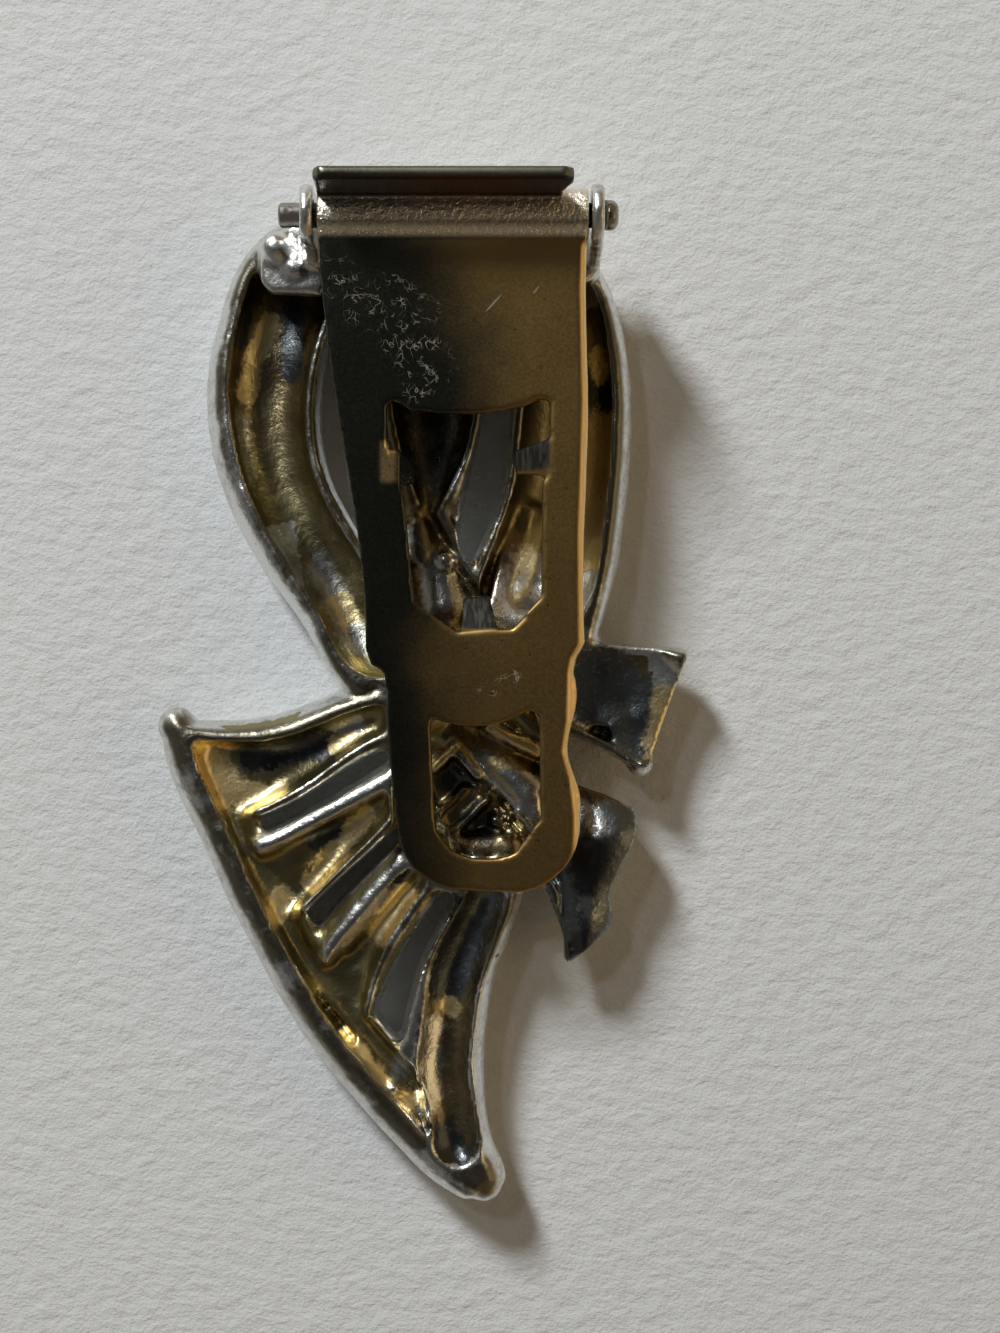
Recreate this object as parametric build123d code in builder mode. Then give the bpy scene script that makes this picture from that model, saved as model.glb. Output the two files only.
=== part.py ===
from build123d import *
import os
from collections import namedtuple
from math import sqrt

os.makedirs("parts", exist_ok=True)

# Frame: the clip lies face down. +X right, +Y towards the hinge, +Z up.
# The floor is z = 0 and the origin is the middle of the footprint.

# Driving dimensions, in millimetres
RIM_Z = 4.4            # plane of all the rims on the hollow back of the casting
RIM_WIDTH = 0.5        # thickness of the metal at a rim
WALL = 0.9             # least metal under a hollow
HOLLOW_SLOPE = 0.62    # deepest hollow, as a share of its width
SHEET = 0.65           # sheet of the lever
PIN_AXIS_Y = 25.98
PIN_AXIS_Z = 8.6
PIN_RADIUS = 0.66
BORE_RADIUS = 0.75     # bore of the rolled barrel, a running fit on the pin
BARREL_RADIUS = 1.4
BARREL_LEFT = -5.35
BARREL_RIGHT = 8.98
EAR_THICKNESS = 0.7
EAR_RADIUS = 1.65
EAR_HOLE_RADIUS = 0.69
EAR_LEFT_FACE = -6.3   # outer face of the left ear
EAR_RIGHT_FACE = 9.85  # outer face of the right ear
EAR_FRONT_Y = 23.8
EAR_BACK_Y = 27.3
EAR_FOOT_Z = 4.6
EAR_SHOULDER = 1.52
FOOT_THICKNESS = 0.7   # foot plate of the bracket, above the rims
FOOT_SUNK = 0.3        # how far the solder beds it between the rims
PIN_LEFT = -7.45
HEAD_FACE = 9.88       # inner face of the pin's head
HEAD_END = 10.6
HEAD_RADIUS = 0.8
FLANGE_BACK_Y = 27.43
FLANGE_TOP_Z = 13.5
LEVER_HINGE_Y = 24.5
LEVER_END_Y = -10.3
LEVER_TOP_AT_HINGE = 9.5
LEVER_TOP_AT_END = 7.2
KNOT_FOLD_START = Vector(-0.6, 0.2, 3.1)
KNOT_FOLD_END = Vector(7.0, -6.9, 3.3)
KNOT_FOLD_RADIUS = 1.35

Row = namedtuple("Row", "ax ay bx by front flare_a flare_b hollow")
# One row is one section across a ribbon of the casting. a and b are the outer
# corners of its two rims, front is the height of its front face over the floor,
# each flare is how far that side bulges past its rim, and hollow is the share
# of the width that is hollowed from the back.

RING = [
    Row(-3.3, 0.6, 0.2, 3.0, 1.0, 0.6, 0.2, 0.4),
    Row(-5.9, 4.4, -2.2, 6.5, 0.5, 0.8, 0.3, 1.0),
    Row(-8.0, 7.7, -3.9, 9.4, 0.1, 1.0, 0.3, 1.0),
    Row(-10.1, 11.8, -5.5, 12.4, 0.03, 1.1, 0.4, 1.0),
    Row(-11.1, 16.7, -6.1, 16.2, 0.03, 1.1, 0.4, 1.0),
    Row(-10.6, 21.2, -5.5, 19.9, 0.1, 0.9, 0.3, 1.0),
    Row(-8.5, 25.6, -4.2, 22.2, 0.2, 0.7, 0.3, 1.0),
    Row(-4.6, 27.0, -2.2, 22.9, 0.2, 0.6, 0.3, 1.0),
    Row(0.4, 27.25, 0.4, 23.0, 0.2, 0.6, 0.3, 1.0),
    Row(5.4, 26.7, 3.2, 22.6, 0.2, 0.6, 0.3, 1.0),
    Row(9.0, 24.5, 5.0, 21.2, 0.1, 0.6, 0.3, 1.0),
    Row(10.6, 20.3, 5.4, 18.9, 0.03, 0.7, 0.3, 1.0),
    Row(10.9, 15.6, 5.1, 15.4, 0.03, 0.8, 0.3, 1.0),
    Row(10.5, 10.1, 4.5, 11.3, 0.03, 0.8, 0.3, 1.0),
    Row(9.8, 5.8, 3.2, 8.1, 0.4, 0.7, 0.3, 1.0),
    Row(9.2, 3.4, 1.4, 5.2, 0.9, 0.6, 0.2, 0.6),
]
STRAND = [
    Row(-2.2, 24.4, 3.4, 24.4, 1.3, 0.2, 0.2, 0.0),
    Row(-2.2, 21.8, 3.4, 21.8, 1.1, 0.2, 0.2, 0.8),
    Row(-2.2, 19.0, 3.4, 19.0, 1.0, 0.3, 0.2, 1.0),
    Row(-2.0, 15.9, 3.2, 15.9, 1.0, 0.3, 0.2, 1.0),
    Row(-1.5, 13.7, 2.7, 13.7, 1.1, 0.3, 0.2, 1.0),
    Row(-0.9, 11.7, 1.9, 11.7, 1.3, 0.2, 0.2, 0.9),
    Row(-0.7, 10.0, 1.4, 9.9, 1.5, 0.2, 0.2, 0.5),
    Row(-1.4, 8.4, 2.3, 7.9, 1.6, 0.2, 0.2, 0.0),
    Row(-1.7, 5.6, 3.4, 5.2, 1.7, 0.2, 0.2, 0.0),
]
KNOT = [
    Row(-2.3, 6.9, 4.6, 6.4, 0.9, 0.2, 0.2, 0.0),
    Row(-2.5, 2.0, 7.6, 2.4, 0.4, 0.2, 0.2, 0.0),
    Row(-1.8, -2.5, 7.4, -2.7, 0.3, 0.2, 0.2, 0.0),
    Row(-0.8, -7.0, 7.6, -6.4, 0.5, 0.2, 0.2, 0.0),
    Row(1.2, -10.6, 6.0, -10.4, 1.0, 0.2, 0.2, 0.0),
]
KNOT_POCKET_LOW = [
    Row(-0.9, -2.9, 1.5, -1.9, 1.6, 0.2, 0.2, 0.5),
    Row(-0.1, -5.0, 3.1, -3.4, 1.2, 0.2, 0.2, 1.0),
    Row(1.1, -7.4, 4.9, -5.6, 1.2, 0.2, 0.2, 1.0),
    Row(2.6, -9.3, 5.8, -7.9, 1.6, 0.2, 0.2, 0.5),
]
KNOT_POCKET_HIGH = [
    Row(-0.8, 2.4, 1.4, 5.2, 1.6, 0.2, 0.2, 0.5),
    Row(1.6, 0.6, 4.2, 3.4, 1.2, 0.2, 0.2, 1.0),
    Row(4.0, -1.9, 6.4, 0.4, 1.2, 0.2, 0.2, 1.0),
    Row(5.8, -4.1, 7.2, -2.6, 1.6, 0.2, 0.2, 0.5),
]
END_A = [
    Row(5.6, 2.4, 5.6, -1.0, 1.2, 0.2, 0.2, 0.0),
    Row(7.4, 2.7, 7.2, -1.4, 0.9, 0.3, 0.2, 0.8),
    Row(9.6, 2.9, 8.9, -2.0, 0.7, 0.4, 0.2, 1.0),
    Row(12.2, 2.8, 10.8, -2.9, 0.6, 0.4, 0.3, 1.0),
    Row(13.8, 2.7, 11.8, -3.4, 0.8, 0.4, 0.3, 0.9),
    Row(14.7, 2.6, 12.5, -3.7, 1.3, 0.3, 0.2, 0.0),
]
END_B = [
    Row(3.6, -9.0, 5.4, -4.2, 1.3, 0.2, 0.2, 0.0),
    Row(5.6, -9.4, 7.8, -4.5, 1.0, 0.2, 0.2, 0.8),
    Row(6.8, -10.0, 9.9, -5.3, 0.7, 0.3, 0.3, 1.0),
    Row(7.3, -11.0, 11.6, -6.5, 0.7, 0.3, 0.3, 1.0),
    Row(7.8, -12.2, 11.0, -9.0, 0.9, 0.3, 0.3, 0.9),
    Row(8.3, -13.4, 10.0, -11.8, 1.3, 0.3, 0.3, 0.7),
    Row(8.7, -14.1, 9.4, -13.5, 2.0, 0.3, 0.3, 0.0),
]
PLEAT_1 = [
    Row(-0.8, 0.9, -0.8, -1.6, 1.3, 0.3, 0.1, 0.0),
    Row(-2.2, 0.4, -2.0, -2.2, 1.1, 0.4, 0.1, 0.9),
    Row(-4.5, -0.3, -4.0, -3.2, 1.0, 0.6, 0.1, 1.0),
    Row(-7.6, -1.5, -6.5, -5.0, 0.7, 0.8, 0.1, 1.0),
    Row(-10.6, -1.8, -9.3, -6.4, 0.5, 0.8, 0.1, 1.0),
    Row(-12.6, -1.6, -10.9, -7.0, 0.6, 0.6, 0.1, 0.95),
    Row(-13.3, -1.4, -11.6, -7.3, 1.0, 0.4, 0.1, 0.0),
]
PLEAT_2 = [
    Row(-0.4, -3.3, -0.2, -5.7, 1.4, 0.4, 0.1, 0.0),
    Row(-2.0, -4.2, -1.8, -6.9, 1.1, 0.5, 0.1, 0.9),
    Row(-4.4, -5.6, -4.3, -9.4, 0.8, 0.6, 0.1, 1.0),
    Row(-7.3, -7.1, -6.5, -11.6, 0.5, 0.6, 0.1, 1.0),
    Row(-9.9, -8.2, -7.9, -13.2, 0.6, 0.5, 0.1, 0.95),
    Row(-10.7, -8.5, -8.6, -13.5, 1.0, 0.4, 0.1, 0.0),
]
PLEAT_3 = [
    Row(0.2, -7.4, 1.6, -9.0, 1.4, 0.4, 0.1, 0.0),
    Row(-1.2, -8.8, 0.8, -10.0, 1.1, 0.4, 0.1, 0.9),
    Row(-2.6, -10.3, -0.2, -11.4, 0.7, 0.5, 0.1, 1.0),
    Row(-4.3, -12.3, -2.1, -14.5, 0.1, 0.5, 0.1, 1.0),
    Row(-5.7, -14.4, -3.1, -18.2, 0.0, 0.5, 0.1, 1.0),
    Row(-6.4, -15.9, -3.5, -20.0, 0.2, 0.4, 0.1, 0.95),
    Row(-7.1, -16.3, -4.2, -20.5, 0.8, 0.3, 0.1, 0.0),
]
PLEAT_4 = [
    Row(3.0, -9.4, 5.2, -9.4, 1.3, 0.3, 0.3, 0.0),
    Row(2.3, -11.0, 4.7, -11.2, 1.0, 0.3, 0.4, 0.9),
    Row(1.3, -13.1, 3.8, -13.4, 0.7, 0.4, 0.5, 1.0),
    Row(0.2, -16.4, 2.7, -16.4, 0.3, 0.4, 0.6, 1.0),
    Row(-0.3, -19.8, 2.1, -19.8, 0.0, 0.4, 0.7, 1.0),
    Row(-0.3, -22.2, 2.5, -23.0, 0.1, 0.4, 0.7, 1.0),
    Row(0.8, -24.3, 3.1, -24.9, 0.5, 0.4, 0.6, 0.9),
    Row(2.2, -26.2, 3.7, -26.6, 1.2, 0.4, 0.4, 0.0),
]
FAN_EDGE = [
    Row(-13.6, -1.2, -12.6, -1.6, 1.4, 0.7, 0.2, 0.0),
    Row(-13.2, -2.6, -12.0, -2.4, 1.1, 0.9, 0.2, 0.5),
    Row(-12.4, -4.6, -11.1, -4.0, 0.8, 1.0, 0.2, 1.0),
    Row(-11.1, -7.3, -9.9, -6.7, 0.8, 1.0, 0.2, 1.0),
    Row(-9.7, -10.4, -8.5, -9.7, 0.8, 1.0, 0.2, 1.0),
    Row(-8.3, -13.1, -7.0, -12.4, 0.8, 1.0, 0.2, 1.0),
    Row(-6.2, -16.8, -4.8, -15.9, 0.6, 1.0, 0.2, 1.0),
    Row(-3.8, -20.2, -2.3, -19.1, 0.6, 1.0, 0.2, 1.0),
    Row(-1.2, -23.2, -0.1, -21.8, 0.7, 1.0, 0.2, 1.0),
    Row(1.4, -25.8, 2.3, -24.6, 1.0, 0.9, 0.2, 0.5),
    Row(3.0, -27.1, 3.7, -26.2, 1.6, 0.7, 0.4, 0.0),
]
# Hollow behind the outer wall of the fan, which joins the ends of the pleats
FAN_GROOVE = [
    Row(-13.3, -1.9, -11.1, -2.6, 1.2, 0.2, 0.2, 0.9),
    Row(-12.4, -4.6, -10.2, -3.6, 0.9, 0.2, 0.2, 1.0),
    Row(-11.1, -7.3, -8.9, -6.2, 0.9, 0.2, 0.2, 1.0),
    Row(-9.7, -10.4, -7.5, -9.2, 0.9, 0.2, 0.2, 1.0),
    Row(-8.3, -13.1, -6.1, -11.9, 0.9, 0.2, 0.2, 1.0),
    Row(-6.2, -16.8, -4.2, -15.4, 0.8, 0.2, 0.2, 1.0),
    Row(-3.8, -20.2, -1.9, -18.6, 0.8, 0.2, 0.2, 1.0),
    Row(-1.2, -23.2, 0.5, -21.5, 0.9, 0.2, 0.2, 1.0),
    Row(0.9, -25.3, 2.3, -23.7, 1.2, 0.2, 0.2, 0.9),
]
RIBBONS = [RING, STRAND, KNOT, END_A, END_B, PLEAT_1, PLEAT_2, PLEAT_3, PLEAT_4, FAN_EDGE]
HOLLOWED = [RING, STRAND, END_A, END_B, PLEAT_1, PLEAT_2, PLEAT_3, PLEAT_4, FAN_GROOVE,
            KNOT_POCKET_LOW, KNOT_POCKET_HIGH]
# Each ribbon is cut off at the rim plane after it is joined, so each stands a
# little higher than that, by a different amount.
SPARE = 0.3
SPARE_STEP = 0.05

Ball = namedtuple("Ball", "x y z radius")
# Rounded corners of the casting, trimmed at the rim plane with it
CORNERS = [
    Ball(-13.75, -1.35, 3.2, 1.1),   # top corner of the fan
    Ball(3.4, -26.9, 3.2, 1.05),     # tip of the fan
    Ball(12.1, -3.4, 3.3, 0.8),      # low corner of the upper ribbon end
    Ball(11.2, -6.4, 3.3, 0.75),     # corner of the leaf
]
# Solder left round the feet of the hinge bracket
SOLDER = [
    Ball(-8.0, 25.0, 4.9, 0.95),
    Ball(-7.0, 23.9, 4.7, 0.85),
    Ball(8.3, 23.3, 4.6, 0.7),
]

Tooth = namedtuple("Tooth", "x y dx dy width tip_width reach drop")
# Teeth cut from the first window and bent down: where each leaves the edge,
# the way it points, its width at root and tip, how far it reaches and drops
TEETH = [
    Tooth(-1.2, 12.5, 1.0, 0.0, 2.0, 1.2, 0.9, 2.2),
    Tooth(6.9, 13.1, -1.0, -0.05, 1.9, 1.3, 1.8, 1.7),
    Tooth(3.2, 3.8, -0.1, 1.0, 2.0, 1.4, 2.0, 1.8),
]


def across(row):
    """The upright plane across a ribbon at one row, its x from rim a to rim b."""
    run = Vector(row.bx - row.ax, row.by - row.ay, 0)
    return Plane(origin=(row.ax, row.ay, 0), x_dir=run, z_dir=run.cross(Vector(0, 0, 1)))


def width_of(row):
    return sqrt((row.bx - row.ax) ** 2 + (row.by - row.ay) ** 2)


def side_reach(height, flare):
    """How far in from its rim a side meets the flat of the front."""
    return height - sqrt(2 * height * min(flare, 0.45 * height))


def trough_outline(left, right, top, rim, bottom, reach_left, reach_right):
    """A closed outline: two round sides tangent to a flat bottom, open walls above the rim."""
    room = right - left
    scale = min(1.0, 0.92 * room / (reach_left + reach_right))
    flat_left = left + reach_left * scale
    flat_right = right - reach_right * scale
    TangentArc((flat_left, bottom), (left, rim), tangent=(-1, 0))
    Line((flat_left, bottom), (flat_right, bottom))
    TangentArc((flat_right, bottom), (right, rim), tangent=(1, 0))
    Polyline((left, rim), (left, top), (right, top), (right, rim))


def ribbon_body(rows, spare):
    """The full solid of one ribbon, before it is hollowed."""
    with BuildPart() as body:
        for row in rows:
            height = RIM_Z - row.front
            with BuildSketch(across(row)):
                with BuildLine():
                    trough_outline(0, width_of(row), RIM_Z + spare, RIM_Z, row.front,
                                   side_reach(height, row.flare_a), side_reach(height, row.flare_b))
                make_face()
        loft()
    return body.part


def ribbon_hollow(rows, spare):
    """What is taken out of one ribbon from the back."""
    with BuildPart() as hollow:
        for row in rows:
            if row.hollow == 0:
                continue
            room = (width_of(row) - 2 * RIM_WIDTH) * row.hollow
            middle = width_of(row) / 2
            depth = min(RIM_Z - row.front - WALL, HOLLOW_SLOPE * room)
            with BuildSketch(across(row)):
                with BuildLine():
                    trough_outline(middle - room / 2, middle + room / 2, RIM_Z + 1 + spare,
                                   RIM_Z, RIM_Z - depth, depth, depth)
                make_face()
        loft()
    return hollow.part


def bent_tooth(tooth):
    """A tapered tab that leaves the sheet level, then bends down."""
    way = Vector(tooth.dx, tooth.dy, 0).normalized()
    middle = lever_top(tooth.y) - SHEET / 2
    sections = [(-0.4, 0.0, tooth.width), (0.15, 0.1, tooth.width),
                (tooth.reach, tooth.drop, tooth.tip_width)]
    with BuildPart() as tab:
        for along, down, width in sections:
            place = Vector(tooth.x, tooth.y, middle) + way * along - Vector(0, 0, down)
            with BuildSketch(Plane(origin=place, x_dir=way.cross(Vector(0, 0, 1)), z_dir=way)):
                Rectangle(width, SHEET - 0.05)
        loft(ruled=True)
    return tab.part


def lever_top(y):
    """Height of the top of the sloping lever plate."""
    slope = (LEVER_TOP_AT_HINGE - LEVER_TOP_AT_END) / (LEVER_HINGE_Y - LEVER_END_Y)
    return LEVER_TOP_AT_END + slope * (y - LEVER_END_Y)


# Hinge bracket: foot plate with a wing to the left, two ears and the solder round them
with BuildPart() as bracket:
    with BuildSketch(Plane.XY.offset(RIM_Z - FOOT_SUNK)):
        with BuildLine():
            Polyline((-8.3, 22.5), (-5.6, 22.4), (-5.2, 23.2), (9.3, 23.2), (9.85, 23.8),
                     (9.85, 26.2), (8.6, 26.8), (-6.3, 26.8), (-8.9, 25.3), (-8.9, 23.1), close=True)
        make_face()
    extrude(amount=FOOT_SUNK + FOOT_THICKNESS)
    for ball in SOLDER:
        with Locations((ball.x, ball.y, ball.z)):
            Sphere(ball.radius)
    for left_face in (EAR_LEFT_FACE, EAR_RIGHT_FACE - EAR_THICKNESS):
        with BuildSketch(Plane.YZ.offset(left_face)):
            with Locations((PIN_AXIS_Y, PIN_AXIS_Z)):
                Circle(EAR_RADIUS)
            with BuildLine():
                Polyline((EAR_FRONT_Y, EAR_FOOT_Z), (EAR_BACK_Y, EAR_FOOT_Z),
                         (PIN_AXIS_Y + EAR_SHOULDER, PIN_AXIS_Z - 0.6),
                         (PIN_AXIS_Y - EAR_SHOULDER, PIN_AXIS_Z - 0.6), close=True)
            make_face()
            with Locations((PIN_AXIS_Y, PIN_AXIS_Z)):
                Circle(EAR_HOLE_RADIUS, mode=Mode.SUBTRACT)
        extrude(amount=EAR_THICKNESS)

# Cast ribbon bow, hollow from the back, with the hinge bracket soldered on
bodies = [ribbon_body(rows, SPARE + SPARE_STEP * i) for i, rows in enumerate(RIBBONS)]
hollows = [ribbon_hollow(rows, SPARE_STEP * i) for i, rows in enumerate(HOLLOWED)]

with BuildPart() as ribbon_ornament:
    for body in bodies:
        add(body)
    for ball in CORNERS:
        with Locations((ball.x, ball.y, ball.z)):
            Sphere(ball.radius)
    with BuildSketch(Plane.XY.offset(RIM_Z)):
        Rectangle(80, 80)
    extrude(amount=5, mode=Mode.SUBTRACT)
    for hollow in hollows:
        add(hollow, mode=Mode.SUBTRACT)
    # Rounded fold that crosses the knot between its two pockets
    with BuildSketch(Plane(origin=KNOT_FOLD_START, z_dir=KNOT_FOLD_END - KNOT_FOLD_START)):
        Circle(KNOT_FOLD_RADIUS)
    extrude(amount=(KNOT_FOLD_END - KNOT_FOLD_START).length)
    add(bracket.part)

# Lever: one stamped sheet, rolled into the barrel and turned up as a thumb flange
teeth = [bent_tooth(tooth) for tooth in TEETH]

with BuildPart() as clip_lever:
    with BuildSketch():
        with BuildLine():
            left = Spline((BARREL_LEFT, 25.3), (-5.1, 21.5), (-4.0, 13.5), (-3.2, 8.2), (-2.9, 2.9))
            step = Polyline(left @ 1, (-2.65, 2.1), (-1.95, 1.7), (-1.8, 0.7))
            lower = Spline(step @ 1, (-1.6, -3.5), (-1.2, -7.0))
            corner = ThreePointArc(lower @ 1, (-0.1, -9.2), (2.0, -10.1))
            end = Line(corner @ 1, (5.2, -10.25))
            turn = ThreePointArc(end @ 1, (7.7, -9.0), (8.6, -6.0))
            notch = Spline(turn @ 1, (8.35, -4.0), (7.95, -2.6), (8.2, -1.0), (8.25, 1.6))
            rise = Polyline(notch @ 1, (8.4, 2.4), (8.85, 3.2))
            right = Spline(rise @ 1, (8.8, 9.0), (9.0, 16.0), (8.85, 22.0), (BARREL_RIGHT, 25.3))
            Line(right @ 1, left @ 0)
        make_face()
        # First window, with its arched top and cut corners
        with BuildLine():
            Polyline((-1.7, 13.7), (-1.7, 15.9), (-1.2, 16.1), (-0.4, 15.6))
            ThreePointArc((-0.4, 15.6), (2.7, 15.4), (5.6, 15.8))
            Polyline((5.6, 15.8), (6.4, 16.2), (6.95, 16.1), (6.9, 12.2), (6.55, 11.8), (6.5, 5.7),
                     (5.0, 4.0), (2.0, 3.8), (-0.3, 5.4), (-0.8, 10.8), (-0.95, 11.4), (-1.7, 11.6),
                     (-1.7, 13.7))
        make_face(mode=Mode.SUBTRACT)
        # Second window
        with BuildLine():
            ThreePointArc((0.55, -0.75), (3.1, -1.25), (5.9, -0.35))
            Polyline((5.9, -0.35), (6.4, -0.6), (6.5, -6.2), (5.1, -8.1))
            ThreePointArc((5.1, -8.1), (3.2, -8.4), (1.6, -7.9))
            Polyline((1.6, -7.9), (0.8, -6.8), (0.55, -0.75))
        make_face(mode=Mode.SUBTRACT)
    extrude(amount=20)
    with BuildSketch(Plane.YZ.offset(-20)):
        with BuildLine():
            Polyline((25.3, lever_top(25.3)), (-12, lever_top(-12)),
                     (-12, lever_top(-12) - SHEET), (25.3, lever_top(25.3) - SHEET), close=True)
        make_face()
    extrude(amount=40, mode=Mode.INTERSECT)
    for tooth in teeth:
        add(tooth)
    # Thumb flange, standing at the back of the barrel
    with BuildSketch(Plane.XZ.offset(-FLANGE_BACK_Y)):
        with BuildLine():
            Polyline((BARREL_LEFT, PIN_AXIS_Z), (-5.3, 13.0), (-4.9, FLANGE_TOP_Z),
                     (7.7, FLANGE_TOP_Z), (8.1, 13.0), (8.1, 12.2), (7.6, 10.2), (7.6, PIN_AXIS_Z),
                     close=True)
        make_face()
    extrude(amount=SHEET)
    # Rolled barrel
    with BuildSketch(Plane.YZ.offset(BARREL_LEFT)):
        with Locations((PIN_AXIS_Y, PIN_AXIS_Z)):
            Circle(BARREL_RADIUS)
    extrude(amount=BARREL_RIGHT - BARREL_LEFT)
    with BuildSketch(Plane.YZ.offset(BARREL_LEFT - 1)):
        with Locations((PIN_AXIS_Y, PIN_AXIS_Z)):
            Circle(BORE_RADIUS)
    extrude(amount=BARREL_RIGHT - BARREL_LEFT + 2, mode=Mode.SUBTRACT)

# Hinge pin, plain at the left and with a domed head at the right
with BuildPart() as hinge_pin:
    with BuildSketch(Plane.YZ.offset(PIN_LEFT)):
        with Locations((PIN_AXIS_Y, PIN_AXIS_Z)):
            Circle(PIN_RADIUS)
    extrude(amount=HEAD_FACE - PIN_LEFT)
    chamfer(hinge_pin.faces().sort_by(Axis.X)[0].edges(), 0.12)
    with BuildSketch(Plane.YZ.offset(HEAD_FACE)):
        with Locations((PIN_AXIS_Y, PIN_AXIS_Z)):
            Circle(HEAD_RADIUS)
    extrude(amount=HEAD_END - HEAD_FACE)
    fillet(hinge_pin.faces().sort_by(Axis.X)[-1].edges(), 0.45)

for piece, name in ((ribbon_ornament, "ribbon_ornament"), (clip_lever, "clip_lever"),
                    (hinge_pin, "hinge_pin")):
    piece.part.label = name
    print(name, piece.part.is_valid, len(piece.part.solids()), round(piece.part.volume, 1))
    export_step(piece.part, "parts/" + name + ".step")
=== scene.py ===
import bpy
import bmesh
import math
import numpy as np
from mathutils import Matrix, Vector, noise
from mathutils.bvhtree import BVHTree


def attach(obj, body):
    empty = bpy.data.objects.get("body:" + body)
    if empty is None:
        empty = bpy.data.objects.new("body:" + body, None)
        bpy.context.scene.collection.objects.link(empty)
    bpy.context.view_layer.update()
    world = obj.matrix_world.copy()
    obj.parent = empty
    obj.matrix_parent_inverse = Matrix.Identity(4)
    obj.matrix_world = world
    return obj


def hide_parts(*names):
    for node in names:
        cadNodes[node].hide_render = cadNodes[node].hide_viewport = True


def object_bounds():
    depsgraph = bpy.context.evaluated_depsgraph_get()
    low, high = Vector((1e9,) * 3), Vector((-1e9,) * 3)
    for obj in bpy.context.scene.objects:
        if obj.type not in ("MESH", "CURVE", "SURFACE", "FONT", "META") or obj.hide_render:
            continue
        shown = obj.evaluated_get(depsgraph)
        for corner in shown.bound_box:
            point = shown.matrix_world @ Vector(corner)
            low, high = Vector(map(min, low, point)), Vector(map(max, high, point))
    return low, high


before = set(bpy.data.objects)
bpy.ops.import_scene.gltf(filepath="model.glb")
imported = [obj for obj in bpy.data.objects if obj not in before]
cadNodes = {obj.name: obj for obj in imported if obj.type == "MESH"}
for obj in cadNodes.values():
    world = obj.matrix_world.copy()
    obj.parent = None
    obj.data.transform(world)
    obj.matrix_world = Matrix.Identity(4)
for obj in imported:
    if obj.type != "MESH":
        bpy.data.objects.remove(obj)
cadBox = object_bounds()
scene = bpy.context.scene
scene.view_settings.view_transform = "Standard"

# Pieces are worked on in millimetres and put back in metres at the end
toMm = Matrix.Scale(1000.0, 4)
toMetres = Matrix.Scale(0.001, 4)


def cadCopy(nodeName, pieceName):
    # the node's own mesh is loose triangles, so the copy is merged first
    mesh = cadNodes[nodeName].data.copy()
    mesh.name = pieceName
    mesh.materials.clear()
    mesh.transform(toMm)
    bm = bmesh.new()
    bm.from_mesh(mesh)
    bmesh.ops.remove_doubles(bm, verts=bm.verts, dist=0.002)
    bm.to_mesh(mesh)
    bm.free()
    piece = bpy.data.objects.new(pieceName, mesh)
    scene.collection.objects.link(piece)
    return piece


def bakeModifiers(piece):
    graph = bpy.context.evaluated_depsgraph_get()
    made = bpy.data.meshes.new_from_object(piece.evaluated_get(graph))
    piece.modifiers.clear()
    piece.data = made
    made.name = piece.name


def reskin(piece, voxel, smoothing):
    skin = piece.modifiers.new("skin", "REMESH")
    skin.mode = "VOXEL"
    skin.voxel_size = voxel
    soften = piece.modifiers.new("soften", "SMOOTH")
    soften.iterations = smoothing
    soften.factor = 0.5
    bakeModifiers(piece)


def pointsOf(mesh):
    points = np.empty(len(mesh.vertices) * 3)
    mesh.vertices.foreach_get("co", points)
    return points.reshape(-1, 3)


def normalsOf(mesh):
    normals = np.empty(len(mesh.vertices) * 3, np.float32)
    mesh.vertex_normals.foreach_get("vector", normals)
    return normals.reshape(-1, 3).astype(float)


def setPoints(mesh, points):
    mesh.vertices.foreach_set("co", points.astype(np.float32).ravel())
    mesh.update()


def noiseAt(points, frequency):
    return np.array([noise.noise(Vector(point) * frequency) for point in points])


def step(values, low, high):
    # 0 at low and 1 at high, which may be the smaller of the two
    share = np.clip((values - low) / (high - low), 0, 1)
    return share * share * (3 - 2 * share)


def between(values, low, high, soft):
    # 1 from low to high, fading out over the soft width on either side
    return step(values, low - soft, low) * step(values, high + soft, high)


def writeField(mesh, name, values):
    field = mesh.attributes.new(name, "FLOAT", "POINT")
    field.data.foreach_set("value", values.astype(np.float32))


def fieldOf(tree, name):
    return addNode(tree, "ShaderNodeAttribute", attribute_name=name).outputs["Fac"]


def place(piece, body, slotName, material, *nodeNames):
    piece.data.transform(toMetres)
    setPoints(piece.data, np.clip(pointsOf(piece.data), list(cadBox[0]), list(cadBox[1])))
    piece.data.materials.clear()
    piece.data.materials.append(material)
    piece.data.shade_smooth()
    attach(piece, body)
    if nodeNames:
        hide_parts(*nodeNames)
    print(piece.name, len(piece.data.polygons), "faces")


def newMaterial(name):
    material = bpy.data.materials.new(name)
    material.use_nodes = True
    tree = material.node_tree
    shader = tree.nodes["Principled BSDF"]
    return material, tree, shader


def addNode(tree, kind, inputs=None, **settings):
    node = tree.nodes.new(kind)
    for key, value in settings.items():
        setattr(node, key, value)
    for key, value in (inputs or {}).items():
        if isinstance(value, bpy.types.NodeSocket):
            tree.links.new(value, node.inputs[key])
        else:
            node.inputs[key].default_value = value
    return node


def noiseOf(tree, where, scale, detail=3.0, roughness=0.55):
    made = addNode(tree, "ShaderNodeTexNoise", {"Vector": where, "Scale": scale, "Detail": detail,
                                                "Roughness": roughness})
    return made.outputs["Fac"]


def ramp(tree, value, low, high, toLow=0.0, toHigh=1.0):
    made = addNode(tree, "ShaderNodeMapRange",
                   {"Value": value, "From Min": low, "From Max": high, "To Min": toLow, "To Max": toHigh},
                   interpolation_type="SMOOTHSTEP")
    return made.outputs["Result"]


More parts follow.
